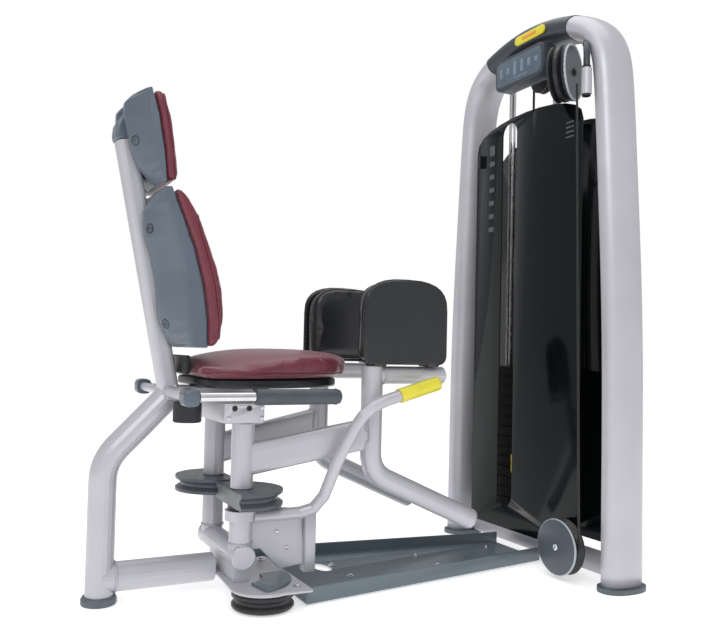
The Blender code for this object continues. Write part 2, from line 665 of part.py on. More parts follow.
def build_tower_frame():
    line = [(0.337, 0.0125), (0.335, 0.22), (0.334, 0.42), (0.330, 0.64), (0.321, 0.83),
            (0.309, 1.02), (0.299, 1.18), (0.290, 1.305), (0.280, 1.358), (0.260, 1.402),
            (0.228, 1.435), (CAP_HALF + 0.010, 1.4563), (CAP_HALF + 0.0003, 1.45945)]
    for side, name in ((-1, "tower_post_right"), (1, "tower_post_left")):
        path = [(TOWER_X, tower_y(side * y), z) for y, z in line]
        loft(name, path, "silver", POST_HALF, (1, 0, 0), segments=24, power=2.3)
    for side, name in ((-1, "tower_foot_right"), (1, "tower_foot_left")):
        y = tower_y(side * 0.337)
        loft(name, [(TOWER_X, y, 0), (TOWER_X, y, 0.003), (TOWER_X, y, 0.0120)], "rubber",
              (0.068, 0.042), (1, 0, 0), segments=24, power=2.3)
    ends = CAP_HALF
    half = [(ends, 1.45955), (ends - 0.0097, 1.4627), (0.115, 1.4758), (0.060, 1.4850)]
    crown = [(-y, z) for y, z in half] + [(0, 1.4885)] + half[::-1]
    loft("top_cap", [(TOWER_X, tower_y(y), z) for y, z in crown], "shell_grey",
          (0.060, 0.0335), (1, 0, 0), segments=24, power=2.6)
    block("display", (0.815, tower_y(-0.108), 1.348), (0.862, tower_y(0.108), 1.4400), "shell_grey", 0.008)
    prism("badge", pill(tower_y(-0.030), 1.480, 0.128, 0.026), 0.828, 0.8328, "YZ", "yellow")
    block("tower_crossbar", (0.905, tower_y(-0.3025), 0.013), (0.951, tower_y(0.3025), 0.062),
          "silver", 0.004, 1)


def pill(cy, cz, length, height):
    r = height / 2
    return (arc(cy + length / 2 - r, cz, r, -90, 90, 6) + arc(cy - length / 2 + r, cz, r, 90, 270, 6))


def shield_outline(half, base, spring, rise, shift=0.0):
    points = [(tower_y(shift - half), base), (tower_y(shift + half), base)]
    steps = 12
    for i in range(steps + 1):
        t = math.pi * i / steps
        y = shift + half * math.cos(t)
        z = spring + rise * math.sin(t) ** 0.8
        points.append((tower_y(y), z))
    return points


def build_shields():
    front = prism("front_shield", shield_outline(SHIELD_HALF, 0.070, 1.196, 0.075),
                  SHIELD_X, SHIELD_X + SHIELD_T, "YZ", "smoke")
    slot_y, slot_r = STACK_Y - 0.006, 0.033
    window = (arc(slot_y, 0.165, slot_r, 180, 360, 8) + arc(slot_y, 1.222, slot_r, 0, 180, 8))
    cut = prism("cut", window, SHIELD_X - 0.01, SHIELD_X + 0.02, "YZ", "smoke")
    combine(front, [cut], "DIFFERENCE")
    prism("rear_shield", shield_outline(REAR_SHIELD_HALF, 0.070, 1.181, 0.075, REAR_SHIELD_SHIFT),
          REAR_SHIELD_X, REAR_SHIELD_X + SHIELD_T, "YZ", "smoke")


def plate_pile(name, count, z0, slot=True):
    """Weight plates lying on one another, parted by shallow grooves, with a rod bore each side."""
    x0, x1 = STACK_X
    y0, y1 = STACK_Y - STACK_W / 2, STACK_Y + STACK_W / 2
    groove = 0.003
    outline = []
    for i in range(count):
        z = z0 + i * PLATE_PITCH
        outline.append((x0, z))
        outline.append((x0, z + PLATE_T))
        if i < count - 1:
            outline.append((x0 + groove, z + PLATE_T))
            outline.append((x0 + groove, z + PLATE_PITCH))
    outline += [(x1, z0 + (count - 1) * PLATE_PITCH + PLATE_T), (x1, z0)]
    pile = prism(name, outline, y0, y1, "XZ", "black")
    bores = []
    top = z0 + count * PLATE_PITCH
    for side in (-1, 1):
        y = STACK_Y + side * ROD_SPREAD
        bores.append(rod("bore", (ROD_X, y, z0 - 0.02), (ROD_X, y, top + 0.02), 0.0108, "black", 16, 0))
    if slot:
        bores.append(rod("bore", (ROD_X, STACK_Y, z0 - 0.02), (ROD_X, STACK_Y, top + 0.02), 0.0098,
                         "black", 16, 0))
    combine(pile, bores, "DIFFERENCE")
    return smooth(pile, 30)


def build_stack():
    plate_pile("stack_resting", PLATES_RESTING, STACK_BASE_Z)
    lift_z = STACK_BASE_Z + PLATES_RESTING * PLATE_PITCH
    lifted = plate_pile("stack_lifted", PLATES_LIFTED, lift_z, slot=False)
    top = lift_z + (PLATES_LIFTED - 1) * PLATE_PITCH + PLATE_T
    spine = [(0, STACK_BASE_Z + 0.010), (0.0085, STACK_BASE_Z + 0.010), (0.0085, top - 0.005),
             (0.020, top - 0.005), (0.020, top + 0.012), (0.009, top + 0.020),
             (0.009, top + 0.045), (0, top + 0.045)]
    combine(lifted, [lathe("spine", spine, "steel", (ROD_X, STACK_Y, 0), segments=16)])
    smooth(lifted, 30)
    pin_z = lift_z + PLATE_T / 2
    tip_x = STACK_X[0] + PIN_DEPTH
    hole = rod("hole", (STACK_X[0] - 0.02, STACK_Y, pin_z), (tip_x + 0.002, STACK_Y, pin_z),
               PIN_R + 0.001, "black", 12, 0)
    combine(lifted, [hole], "DIFFERENCE")
    smooth(lifted, 30)
    set_origin(lifted, (ROD_X, STACK_Y, lift_z))
    grip_x = STACK_X[0] - 0.0085
    knob = rod("selector_pin", (tip_x, STACK_Y, pin_z), (grip_x, STACK_Y, pin_z), PIN_R, "yellow", 16)
    handle = [(0, -0.0285), (0.0045, -0.0285), (0.0075, -0.0255), (0.0080, -0.0180), (0.0080, -0.0060),
              (0.0068, 0), (0.0080, 0.0060), (0.0080, 0.0180), (0.0075, 0.0255), (0.0045, 0.0285),
              (0, 0.0285)]
    combine(knob, [lathe("handle", handle, "yellow", (grip_x, STACK_Y, pin_z), segments=16)])
    smooth(knob)
    set_origin(knob, (tip_x, STACK_Y, pin_z))
    cable_low = top + 0.045 + GAP
    rod("lift_cable", (ROD_X, STACK_Y, cable_low), (ROD_X, STACK_Y, CABLE_TOP_Z), 0.004, "black", 10)
    for side, name in ((-1, "guide_rod_right"), (1, "guide_rod_left")):
        y = STACK_Y + side * ROD_SPREAD
        rod(name, (ROD_X, y, 0.0625), (ROD_X, y, 1.4180), 0.0100, "steel", 16)


def groove_wheel(radius, width, grooves=1):
    """Half profile of a pulley with V grooves, closed on the axis."""
    step = width / grooves
    profile = [(0, 0), (radius - 0.002, 0)]
    for i in range(grooves):
        base = i * step
        profile += [(radius, base + 0.002), (radius, base + 0.005), (radius - 0.010, base + step / 2),
                    (radius, base + step - 0.005)]
    profile += [(radius, width - 0.002), (radius - 0.002, width), (0, width)]
    return profile


def build_pulleys():
    axis = Vector((-math.sin(TOP_TURN), math.cos(TOP_TURN), 0))
    cheek = [(0, 0), (0.064, 0), (0.074, 0.002), (0.074, 0.005), (0, 0.005)]
    across = (1, 0, 0)
    wheels = (
        ("top_pulley", groove_wheel(0.073, 0.044, 2), "black", TOP_HUB + axis * 0.0054, axis, 32),
        ("top_pulley_cheek", cheek, "shell_grey", TOP_HUB, axis, 32),
        ("inner_pulley", groove_wheel(0.044, 0.026), "black", INNER_HUB, across, 24),
        ("bottom_pulley", groove_wheel(0.0715, 0.034), "shell_grey", BOTTOM_HUB, across, 36),
    )
    for name, profile, key, hub, spin, segments in wheels:
        wheel = lathe(name, profile, key, hub, spin, segments)
        set_origin(wheel, hub)
    rod("down_cable", (0.8172, -0.3175, 0.0900), (0.8000, -0.3060, 1.2700), 0.0030, "black", 8)


def hang_on_datum():
    """Put every part on one empty, so that the rear foot's underside is centred on the origin."""
    datum = bpy.data.objects.new("pivot_datum", None)
    PARTS.objects.link(datum)
    datum.location = (-REAR_X, 0, 0)
    for obj in PARTS.objects:
        if obj != datum:
            obj.parent = datum


build_seat_frame()
build_backrest()
build_seat()
build_handles()
build_pivot_base()
build_tray()
build_arm()
build_cam("arm_cam_right", -1, 1)
build_cam("arm_cam_left", 1, -1)
build_pads()
build_lever()
build_tower_frame()
build_shields()
build_stack()
build_pulleys()
hang_on_datum()
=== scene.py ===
import json
import math

import bmesh
import bpy
from mathutils import Matrix, Vector
from mathutils.bvhtree import BVHTree
from mathutils.kdtree import KDTree


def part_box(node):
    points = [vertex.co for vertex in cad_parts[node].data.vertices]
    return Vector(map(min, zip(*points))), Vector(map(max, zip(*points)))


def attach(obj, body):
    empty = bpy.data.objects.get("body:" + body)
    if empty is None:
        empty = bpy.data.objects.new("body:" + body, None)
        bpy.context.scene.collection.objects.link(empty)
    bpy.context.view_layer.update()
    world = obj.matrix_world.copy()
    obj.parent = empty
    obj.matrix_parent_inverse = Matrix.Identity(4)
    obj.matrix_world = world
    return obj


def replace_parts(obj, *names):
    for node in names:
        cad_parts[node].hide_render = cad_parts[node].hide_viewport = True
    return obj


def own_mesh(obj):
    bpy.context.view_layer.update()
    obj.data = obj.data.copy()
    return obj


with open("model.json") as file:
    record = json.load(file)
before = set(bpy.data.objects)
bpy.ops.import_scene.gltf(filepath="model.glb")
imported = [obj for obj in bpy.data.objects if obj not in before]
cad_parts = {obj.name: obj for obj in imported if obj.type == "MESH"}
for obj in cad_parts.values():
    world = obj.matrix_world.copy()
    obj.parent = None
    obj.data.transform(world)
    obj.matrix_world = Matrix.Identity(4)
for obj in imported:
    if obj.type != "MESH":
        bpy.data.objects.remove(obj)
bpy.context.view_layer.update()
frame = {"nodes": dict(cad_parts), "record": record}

NODES = frame["nodes"]
RECORD = frame["record"]
JOINTS = {joint["name"]: joint for joint in RECORD["behaviour"]["joints"]}
SCENE = bpy.context.scene
X, Y, Z = Vector((1, 0, 0)), Vector((0, 1, 0)), Vector((0, 0, 1))
SIDES = ((-1, "right"), (1, "left"))

# camera: focal length in image widths, stance in the row frame, angles in radians
FOCAL = 1.11766
SENSOR_WIDTH = 36.0
CLIP_END = 60.0
CAMERA_AT = Vector((-0.31298, -1.8348, 0.5808))
CAMERA_YAW = 0.47035
CAMERA_PITCH = 0.03316
CAMERA_ROLL = 0.02334

# studio: the floor's half side and how far it lies under the object, and lamp strengths
FLOOR_HALF = 14.0
FLOOR_AT = (0.6, 0.0, -0.0004)
FLOOR_GLOW = 0.52
SURROUND = 0.56
KEY_POWER = 42.0
TOP_POWER = 60.0

# points closer than this are one point: in the CAD meshes, and in the fine pieces
CAD_MERGE = 2e-5
FINE_MERGE = 1e-6

# cushions: voxel size, cloth settings and the seams
VOXEL = 0.0055
RELAX_STEPS = 6
CLOTH_FRAMES = 20
CLOTH_PRESSURE = 4.0
CLOTH_QUALITY = 5
CLOTH_MASS = 0.3
CLOTH_STRETCH = 12.0
CLOTH_SHEAR = 4.0
CLOTH_BEND = 4.0
HELD_GAP = 0.0065
WELT_RADIUS = 0.0015
SEAM_POINTS = 200
SEAM_LEAST = 100
KNEE_PIPING_RADIUS = 0.0022
KNEE_PIPING_IN = 0.0045
KNEE_PIPING_DROP = 0.0030
CROWN_FORWARD = 0.1
CROWN_ALONG = 0.75
CROWN_LIMIT = 1.2
CROWN_POWER = 1.3

# rays towards a piece start this far from the middle plane, and aim this far inside the piece's edge
REACH = 0.5
BOARD_REACH = 0.8
BOARD_EDGE = 0.004

# details. Turned profiles are (radius, height) from the axis round to the axis, or a closed ring
SHELL_BOLTS = (("head_shell", 0.0340, 1.0277), ("back_shell", 0.0710, 0.8355),
               ("back_shell", 0.1137, 0.6252))
BOLT_CUP = ((0.0, -0.003), (0.0112, -0.003), (0.0112, 0.0003), (0.0102, 0.0009), (0.0092, 0.0004),
            (0.0088, -0.0016), (0.0, -0.0016))
SCREW_SUNK = 0.0012
PRINT = 0.0006
LABEL_SUNK = 0.0002
BODY_SET_BACK = 0.0015
SCREEN_MARGIN = 0.020
DISPLAY_BARS = (0.030, 0.018, 0.040, 0.034, 0.022, 0.014)
BAR_FIRST = -0.078
BAR_PITCH = 0.031
PLACARDS = 7
PLACARD_PITCH = 0.040
LINES = 4
LINE_PITCH = 0.013
GUIDE_AT = Vector((1.104, -0.3240, 1.240))
GUIDE_TUBE = ((0.0, 0.0), (0.0125, 0.0), (0.0135, 0.001), (0.0135, 0.066), (0.0125, 0.067), (0.0, 0.067))
LOWER_CUFF = ((0.0, -0.005), (0.0110, -0.005), (0.0110, 0.0), (0.0, 0.0))
UPPER_CUFF = ((0.0, 0.067), (0.0110, 0.067), (0.0110, 0.073), (0.0, 0.073))
GUIDE_ARM = ((1.104, -0.324, 1.314), (1.106, -0.322, 1.346), (1.114, -0.312, 1.372),
             (1.130, -0.292, 1.388), (1.150, -0.270, 1.396))
TOP_RIM = ((0.0675, 0.0002), (0.0695, -0.0012), (0.0725, -0.0012), (0.0740, 0.0004), (0.0738, 0.0030),
           (0.0675, 0.0030), (0.0675, 0.0002))
GRIP_RING = ((0.0168, 0.0), (0.0180, 0.0006), (0.0184, 0.0025), (0.0180, 0.0044), (0.0168, 0.0050),
             (0.0168, 0.0))
PIVOT = Vector(JOINTS["left_arm_swing"]["pos_m"])
POST_TOP = 0.4523
POST_CAP = ((0.0, 0.0), (0.0105, 0.0), (0.0105, 0.0012), (0.0085, 0.0024), (0.0, 0.0024))
HINGE_PIN = ((0.0, 0.0), (0.0085, 0.0), (0.0085, 0.010), (0.0065, 0.012), (0.0, 0.012))
CROSS_TUBE_TOP = 0.1335
TRAY_SHEET = 0.006
TRAY_BOLTS_X = (0.60, 0.86, 1.10)
TRAY_BOLT_Y = 0.055
BASE_PLATE_TOP = 0.0497
BASE_PLATE_BOLTS = ((0.390, -0.205), (0.395, 0.035), (0.300, 0.030))
# screws that face the user's right: finish, y, places as (x, z), radius, height
SIDE_SCREWS = (("bright", -0.1060, ((0.352, 0.186), (0.378, 0.150), (0.404, 0.112)), 0.0052, 0.0030),
               ("dark", -0.1395, ((0.257, 0.440), (0.291, 0.440)), 0.0065, 0.0030),
               ("bright", -0.1400, ((0.243, 0.418), (0.322, 0.418), (0.322, 0.441)), 0.0050, 0.0028))
CABLE_STEPS = 60
CABLE_SLIMMER = 0.0002


# ----------------------------------------------------------------- materials

class Paint:
    """One procedural Principled material, its patterns laid out in object space."""

    def __init__(self, name, colour, rough, metal=0.0, **fixed):
        self.mat = bpy.data.materials.new(name)
        self.mat.use_nodes = True
        self.tree = self.mat.node_tree
        self.shader = self.tree.nodes["Principled BSDF"]
        self.place = self.tree.nodes.new("ShaderNodeTexCoord")
        self.colour = colour
        self.rough = rough
        self.height = None
        self.put("Base Color", (*colour, 1.0))
        self.put("Roughness", rough)
        self.put("Metallic", metal)
        for key, value in fixed.items():
            self.put(key.replace("_", " "), value)

    def put(self, socket, value):
        self.shader.inputs[socket].default_value = value

    def node(self, kind, **inputs):
        made = self.tree.nodes.new(kind)
        for key, value in inputs.items():
            made.inputs[key].default_value = value
        return made

    def link(self, out, into):
        self.tree.links.new(out, into)

    def coords(self, stretch=(1, 1, 1)):
        mapping = self.node("ShaderNodeMapping", Scale=stretch)
        self.link(self.place.outputs["Object"], mapping.inputs["Vector"])
        return mapping.outputs["Vector"]

    def noise(self, scale, detail=3.0, stretch=(1, 1, 1)):
        made = self.node("ShaderNodeTexNoise", Scale=scale, Detail=detail, Roughness=0.55)
        self.link(self.coords(stretch), made.inputs["Vector"])
        return made.outputs["Fac"]

    def cells(self, scale, feature="DISTANCE_TO_EDGE"):
        made = self.node("ShaderNodeTexVoronoi", Scale=scale)
        made.feature = feature
        self.link(self.coords(), made.inputs["Vector"])
        return made.outputs["Distance"]

    def remap(self, value, low, high, to_low, to_high):
        made = self.tree.nodes.new("ShaderNodeMapRange")
        for key, number in (("From Min", low), ("From Max", high),
                            ("To Min", to_low), ("To Max", to_high)):
            made.inputs[key].default_value = number
        self.link(value, made.inputs["Value"])
        return made.outputs["Result"]

    def tint(self, value, dark, light, low=0.3, high=0.7):
        """Base colour runs from dark to light times the paint's colour as value runs low to high."""
        ramp = self.tree.nodes.new("ShaderNodeValToRGB")
        ramp.color_ramp.elements[0].position = low
        ramp.color_ramp.elements[1].position = high
        ramp.color_ramp.elements[0].color = (*(c * dark for c in self.colour), 1.0)
        ramp.color_ramp.elements[1].color = (*(min(1.0, c * light) for c in self.colour), 1.0)
        self.link(value, ramp.inputs["Fac"])
        self.link(ramp.outputs["Color"], self.shader.inputs["Base Color"])
        return self

    def gloss(self, value, spread):
        """Roughness wanders by spread either side of the paint's own."""
        out = self.remap(value, 0.25, 0.75, self.rough - spread, self.rough + spread)
        self.link(out, self.shader.inputs["Roughness"])
        return self

    def relief(self, value, strength, depth):
        bump = self.node("ShaderNodeBump", Strength=strength, Distance=depth)
        self.link(value, bump.inputs["Height"])
        if self.height:
            self.link(self.height, bump.inputs["Normal"])
        self.height = bump.outputs["Normal"]
        self.link(self.height, self.shader.inputs["Normal"])
        return self


def powder_coat(name, colour, rough=0.36, metal=0.25):
    """Silver powder coat: faint orange peel and a slow drift in tone."""
    p = Paint(name, colour, rough, metal, Coat_Weight=0.18, Coat_Roughness=0.22)
    p.tint(p.noise(7.0, 2.0), 0.955, 1.035).gloss(p.noise(26.0), 0.05)
    p.relief(p.noise(420.0, 2.0), 0.10, 0.0004)
    return p.relief(p.noise(1900.0, 1.0), 0.05, 0.0001).mat


def moulded(name, colour, rough=0.42, grain=1300.0, strength=0.16):
    """Textured injection-moulded plastic."""
    p = Paint(name, colour, rough)
    p.tint(p.noise(9.0, 3.0), 0.93, 1.07).gloss(p.noise(60.0), 0.06)
    return p.relief(p.cells(grain, "F1"), strength, 0.0002).mat


def vinyl(name, colour, rough, sheen, sheen_colour, grain_depth=0.16):
    """Upholstery vinyl: pebbled grain, tone a little uneven at random and a soft bloom at grazing angles.
    """
    p = Paint(name, colour, rough, 0.0, Sheen_Weight=sheen, Sheen_Roughness=0.38,
              Sheen_Tint=(*sheen_colour, 1.0), Coat_Weight=0.12, Coat_Roughness=0.30)
    grain = p.cells(520.0)
    p.tint(p.noise(14.0, 5.0), 0.88, 1.10).gloss(p.noise(170.0), 0.05)
    p.relief(p.remap(grain, 0.0, 0.22, 0.0, 1.0), grain_depth, 0.00015)
    return p.relief(p.noise(62.0, 4.0), 0.08, 0.0009).mat


def cast(name, colour):
    """Painted cast iron, mottled and a little rough."""
    p = Paint(name, colour, 0.52, 0.35)
    p.tint(p.noise(40.0, 6.0), 0.75, 1.3).gloss(p.noise(120.0), 0.10)
    return p.relief(p.noise(650.0, 4.0), 0.25, 0.0004).mat


def acrylic(name, colour):
    """Dark smoked sheet with a polished face and faint smears."""
    p = Paint(name, colour, 0.10, 0.0, IOR=1.38, Specular_IOR_Level=0.36)
    p.tint(p.noise(2.2, 2.0), 0.75, 1.35)
    return p.gloss(p.noise(18.0, 5.0), 0.035).mat


def polished(name, colour, rough=0.20, along=(1, 1, 1)):
    """Turned or drawn steel with fine lines."""
    p = Paint(name, colour, rough, 1.0)
    lines = p.noise(900.0, 2.0, along)
    p.tint(p.noise(30.0), 0.92, 1.05).gloss(lines, 0.06)
    return p.relief(lines, 0.06, 0.0001).mat


def rubber(name, colour, rough=0.62, ribs=0.0):
    """Matt rubber, with small knurls where ribs gives their scale."""
    p = Paint(name, colour, rough)
    p.tint(p.noise(35.0, 4.0), 0.85, 1.15).gloss(p.noise(90.0), 0.06)
    if ribs:
        p.relief(p.cells(ribs, "F1"), 0.45, 0.0006)
    return p.relief(p.noise(700.0, 3.0), 0.20, 0.0003).mat


def glossy_plastic(name, colour, rough=0.24):
    """Smooth bright plastic under a thin gloss."""
    p = Paint(name, colour, rough, 0.0, Coat_Weight=0.3, Coat_Roughness=0.12)
    p.tint(p.noise(20.0, 3.0), 0.92, 1.06).gloss(p.noise(80.0), 0.05)
    return p.relief(p.noise(500.0, 2.0), 0.06, 0.0002).mat


def plain_floor(name, colour):
    """Pale floor that glows a little, so that it meets the white surround."""
    p = Paint(name, colour, 0.85, Emission_Color=(1.0, 1.0, 1.0, 1.0), Emission_Strength=FLOOR_GLOW,
              Specular_IOR_Level=0.0)
    return p.tint(p.noise(0.8, 2.0), 0.985, 1.0).mat


SKINS = {
    "silver_paint": powder_coat("silver_paint", (0.515, 0.515, 0.548)),
    "shell_grey": moulded("shell_grey", (0.096, 0.122, 0.156), 0.30, 1300.0, 0.08),
    "tray_grey": powder_coat("tray_grey", (0.135, 0.175, 0.205), 0.40, 0.12),
    "vinyl_burgundy": vinyl("vinyl_burgundy", (0.150, 0.022, 0.036), 0.34, 0.55, (0.95, 0.72, 0.78)),
    "vinyl_black": vinyl("vinyl_black", (0.0150, 0.0165, 0.0190), 0.26, 0.05, (0.75, 0.8, 0.85), 0.06),
    "black_plastic": moulded("black_plastic", (0.011, 0.012, 0.014), 0.38),
    "stack_iron": cast("stack_iron", (0.008, 0.009, 0.010)),
    "smoked_acrylic": acrylic("smoked_acrylic", (0.0030, 0.0050, 0.0058)),
    "yellow_plastic": glossy_plastic("yellow_plastic", (0.74, 0.66, 0.040)),
    "orange_plastic": glossy_plastic("orange_plastic", (0.78, 0.30, 0.020)),
    "bright_steel": polished("bright_steel", (0.70, 0.70, 0.72), 0.24, (1, 1, 0.03)),
    "black_rubber": rubber("black_rubber", (0.060, 0.072, 0.086), 0.42),
    "foot_rubber": rubber("foot_rubber", (0.105, 0.125, 0.148), 0.52),
    "cable": rubber("cable", (0.010, 0.011, 0.012), 0.35, 1500.0),
    "welds": powder_coat("welds", (0.46, 0.46, 0.49), 0.42),
    "cap_dark": moulded("cap_dark", (0.036, 0.043, 0.053), 0.36),
    "wheel_face": moulded("wheel_face", (0.072, 0.090, 0.110), 0.32, 900.0),
    "cam_grey": moulded("cam_grey", (0.075, 0.085, 0.098), 0.34, 900.0),
    "screen": moulded("screen", (0.085, 0.120, 0.158), 0.30, 2000.0, 0.05),
    "print_grey": moulded("print_grey", (0.17, 0.22, 0.27), 0.40, 2000.0, 0.05),
    # painted highlight: the light grey on the pulley rims stands in for the light caught along their edges
    "painted_rim_highlight": moulded("painted_rim_highlight", (0.42, 0.46, 0.50), 0.30, 2000.0, 0.05),
    "placard": moulded("placard", (0.070, 0.082, 0.090), 0.45, 2000.0, 0.05),
}
SPECIAL_SKINS = {"top_cap": "cap_dark", "lift_cable": "cable", "down_cable": "cable",
                 "bottom_pulley": "black_plastic", "top_pulley_cheek": "wheel_face",
                 "display": "cap_dark", "pad_back_right": "vinyl_black", "pad_back_left": "vinyl_black",
                 "arm_cam_right": "cam_grey", "arm_cam_left": "cam_grey"}
SKIN_OF = {part["node"]: SPECIAL_SKINS.get(part["node"], part["material_slot"])
           for part in RECORD["subparts"]}
BODY_OF = {node: body for body, nodes in RECORD["behaviour"]["bodies"].items() for node in nodes}


def dress_frame():
    """Every CAD node takes the finish of its record slot, apart from a few with a special one."""
    for name, skin in SKIN_OF.items():
        for place in NODES[name].material_slots:
            place.material = SKINS[skin]


# -------------------------------------------------------------------- pieces

def piece(name, bm, skin, body, smooth=40.0):
    """Finish a bmesh as one visible piece that rides on a CAD body."""
    bmesh.ops.recalc_face_normals(bm, faces=bm.faces)
    mesh = bpy.data.meshes.new(name)
    bm.to_mesh(mesh)
    bm.free()
    obj = bpy.data.objects.new(name, mesh)
    SCENE.collection.objects.link(obj)
    mesh.materials.append(SKINS[skin])
    mesh.shade_smooth()
    mesh.set_sharp_from_angle(angle=math.radians(smooth))
    if body:
        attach(obj, body)
    return obj


def baked(obj):
    """Apply the object's modifiers."""
    graph = bpy.context.evaluated_depsgraph_get()
    mesh = bpy.data.meshes.new_from_object(obj.evaluated_get(graph))
    obj.modifiers.clear()
    old = obj.data
    obj.data = mesh
    bpy.data.meshes.remove(old)
    return obj


def corners(node):
    """A CAD node's lowest and highest corner."""
    low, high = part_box(node)
    return Vector(low), Vector(high)


def cad_copy(node):
    """The node's solid as a clean bmesh of quads and flat polygons."""
    bm = bmesh.new()
    bm.from_mesh(NODES[node].data)
    bmesh.ops.remove_doubles(bm, verts=bm.verts, dist=CAD_MERGE)
    bmesh.ops.dissolve_limit(bm, angle_limit=math.radians(0.6), verts=bm.verts, edges=bm.edges)
    return bm


def fine_edges(node, width=0.0012, angle=38.0, segments=2):
    """The node with its sharp edges slightly rounded, in the node's place."""
    obj = piece(node + "_fine", cad_copy(node), SKIN_OF[node], BODY_OF[node])
    mod = obj.modifiers.new("edges", "BEVEL")
    mod.width = width
    mod.segments = segments
    mod.limit_method = "ANGLE"
    mod.angle_limit = math.radians(angle)
    mod.harden_normals = True
    baked(obj)
    obj.data.shade_smooth()
    obj.data.set_sharp_from_angle(angle=math.radians(32.0))
    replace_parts(obj, node)


def sculpted(node, crease, angle=30.0, levels=2):
    """The node rounded by subdivision, with its folds held by a crease, in the node's place."""
    bm = bmesh.new()
    bm.from_mesh(NODES[node].data)
    bmesh.ops.remove_doubles(bm, verts=bm.verts, dist=CAD_MERGE)
    bmesh.ops.join_triangles(bm, faces=bm.faces, angle_face_threshold=math.radians(12.0),
                             angle_shape_threshold=math.radians(120.0))
    layer = bm.edges.layers.float.new("crease_edge")
    for edge in bm.edges:
        if edge.calc_face_angle(0.0) > math.radians(angle):
            edge[layer] = crease
    obj = piece(node + "_fine", bm, SKIN_OF[node], BODY_OF[node], 60.0)
    mod = obj.modifiers.new("fine", "SUBSURF")
    mod.levels = levels
    mod.render_levels = levels
    baked(obj)
    obj.data.shade_smooth()
    obj.data.set_sharp_from_angle(angle=math.radians(50.0))
    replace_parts(obj, node)


def on_axis(centre, axis):
    """Transform that takes the origin to centre and +Z to axis."""
    turn = Z.rotation_difference(Vector(axis)).to_matrix().to_4x4()
    return Matrix.Translation(centre) @ turn


def add_turned(bm, profile, centre, axis, segments=32):
    """Add a turned shape to a bmesh: (radius, height) from the axis round to the axis again."""
    part = bmesh.new()
    chain = [part.verts.new((r, 0.0, h)) for r, h in profile]
    edges = [part.edges.new(pair) for pair in zip(chain, chain[1:])]
    bmesh.ops.spin(part, geom=chain + edges, axis=(0, 0, 1), cent=(0, 0, 0), angle=math.tau,
                   steps=segments, use_merge=True)
    bmesh.ops.remove_doubles(part, verts=part.verts, dist=FINE_MERGE)
    bmesh.ops.transform(part, matrix=on_axis(centre, axis), verts=part.verts)
    bmesh.ops.recalc_face_normals(part, faces=part.faces)
    mesh = bpy.data.meshes.new("part")
    part.to_mesh(mesh)
    part.free()
    bm.from_mesh(mesh)
    bpy.data.meshes.remove(mesh)


def add_screw(bm, centre, axis, radius=0.006, height=0.0035):
    """Button-head screw with a round socket, its base at centre and its head along axis."""
    profile = [(0.0, -0.0015), (radius, -0.0015), (radius, height * 0.35),
               (radius * 0.86, height * 0.8), (radius * 0.55, height), (radius * 0.50, height * 0.95),
               (radius * 0.46, height * 0.35), (0.0, height * 0.35)]
    add_turned(bm, profile, centre, axis, 20)


def add_hex(bm, centre, axis, radius=0.008, height=0.006, washer=0.0115):
    """Hexagon head on a washer."""
    add_turned(bm, [(0.0, -0.001), (washer, -0.001), (washer, 0.0012), (washer * 0.95, 0.0016),
                    (0.0, 0.0016)], centre, axis, 24)
    add_turned(bm, [(0.0, 0.001), (radius, 0.001), (radius, height * 0.85), (radius * 0.85, height),
                    (0.0, height)], centre, axis, 6)


def add_plate(bm, outline, origin, across, up, thickness, bevel=0.0008):
    """Add a flat plate to a bmesh: a 2D outline raised by its thickness, with softened rims."""
    origin, across, up = Vector(origin), Vector(across).normalized(), Vector(up).normalized()
    out = across.cross(up)
    part = bmesh.new()
    base = [part.verts.new(origin + across * a + up * b) for a, b in outline]
    face = part.faces.new(base)
    grown = bmesh.ops.extrude_face_region(part, geom=[face])["geom"]
    top = [g for g in grown if isinstance(g, bmesh.types.BMVert)]
    bmesh.ops.translate(part, vec=out * thickness, verts=top)
    rim = [e for e in part.edges if all(v in top for v in e.verts)]
    if bevel:
        bmesh.ops.bevel(part, geom=rim, offset=bevel, segments=2, affect="EDGES", profile=0.5)
    bmesh.ops.recalc_face_normals(part, faces=part.faces)
    mesh = bpy.data.meshes.new("part")
    part.to_mesh(mesh)
    part.free()
    bm.from_mesh(mesh)
    bpy.data.meshes.remove(mesh)


def rounded(width, height, radius, steps=5):
    """Rectangle about the origin with round corners."""
    points = []
    for cx, cy, start in ((1, -1, -90), (1, 1, 0), (-1, 1, 90), (-1, -1, 180)):
        for i in range(steps + 1):
            a = math.radians(start + 90 * i / steps)
            points.append((cx * (width / 2 - radius) + radius * math.cos(a),
                           cy * (height / 2 - radius) + radius * math.sin(a)))
    return points


def wire(name, points, radius, skin, body, closed=False, sides=8):
    """Round piping, wire or weld along a path, as a mesh."""
    curve = bpy.data.curves.new(name, "CURVE")
    curve.dimensions = "3D"
    curve.bevel_depth = radius
    curve.bevel_resolution = (sides - 4) // 2
    curve.use_fill_caps = not closed
    spline = curve.splines.new("POLY")
    spline.points.add(len(points) - 1)
    for knot, point in zip(spline.points, points):
        knot.co = (*point, 1.0)
    spline.use_cyclic_u = closed
    guide = bpy.data.objects.new(name + "_path", curve)
    SCENE.collection.objects.link(guide)
    graph = bpy.context.evaluated_depsgraph_get()
    bm = bmesh.new()
    bm.from_mesh(bpy.data.meshes.new_from_object(guide.evaluated_get(graph)))
    bpy.data.objects.remove(guide)
    bmesh.ops.remove_doubles(bm, verts=bm.verts, dist=FINE_MERGE)
    return piece(name, bm, skin, body)


def surface(obj):
    """Search tree over an object's own mesh, which a hidden CAD node has too."""
    bm = bmesh.new()
    bm.from_mesh(obj.data)
    tree = BVHTree.FromBMesh(bm)
    bm.free()
    return tree


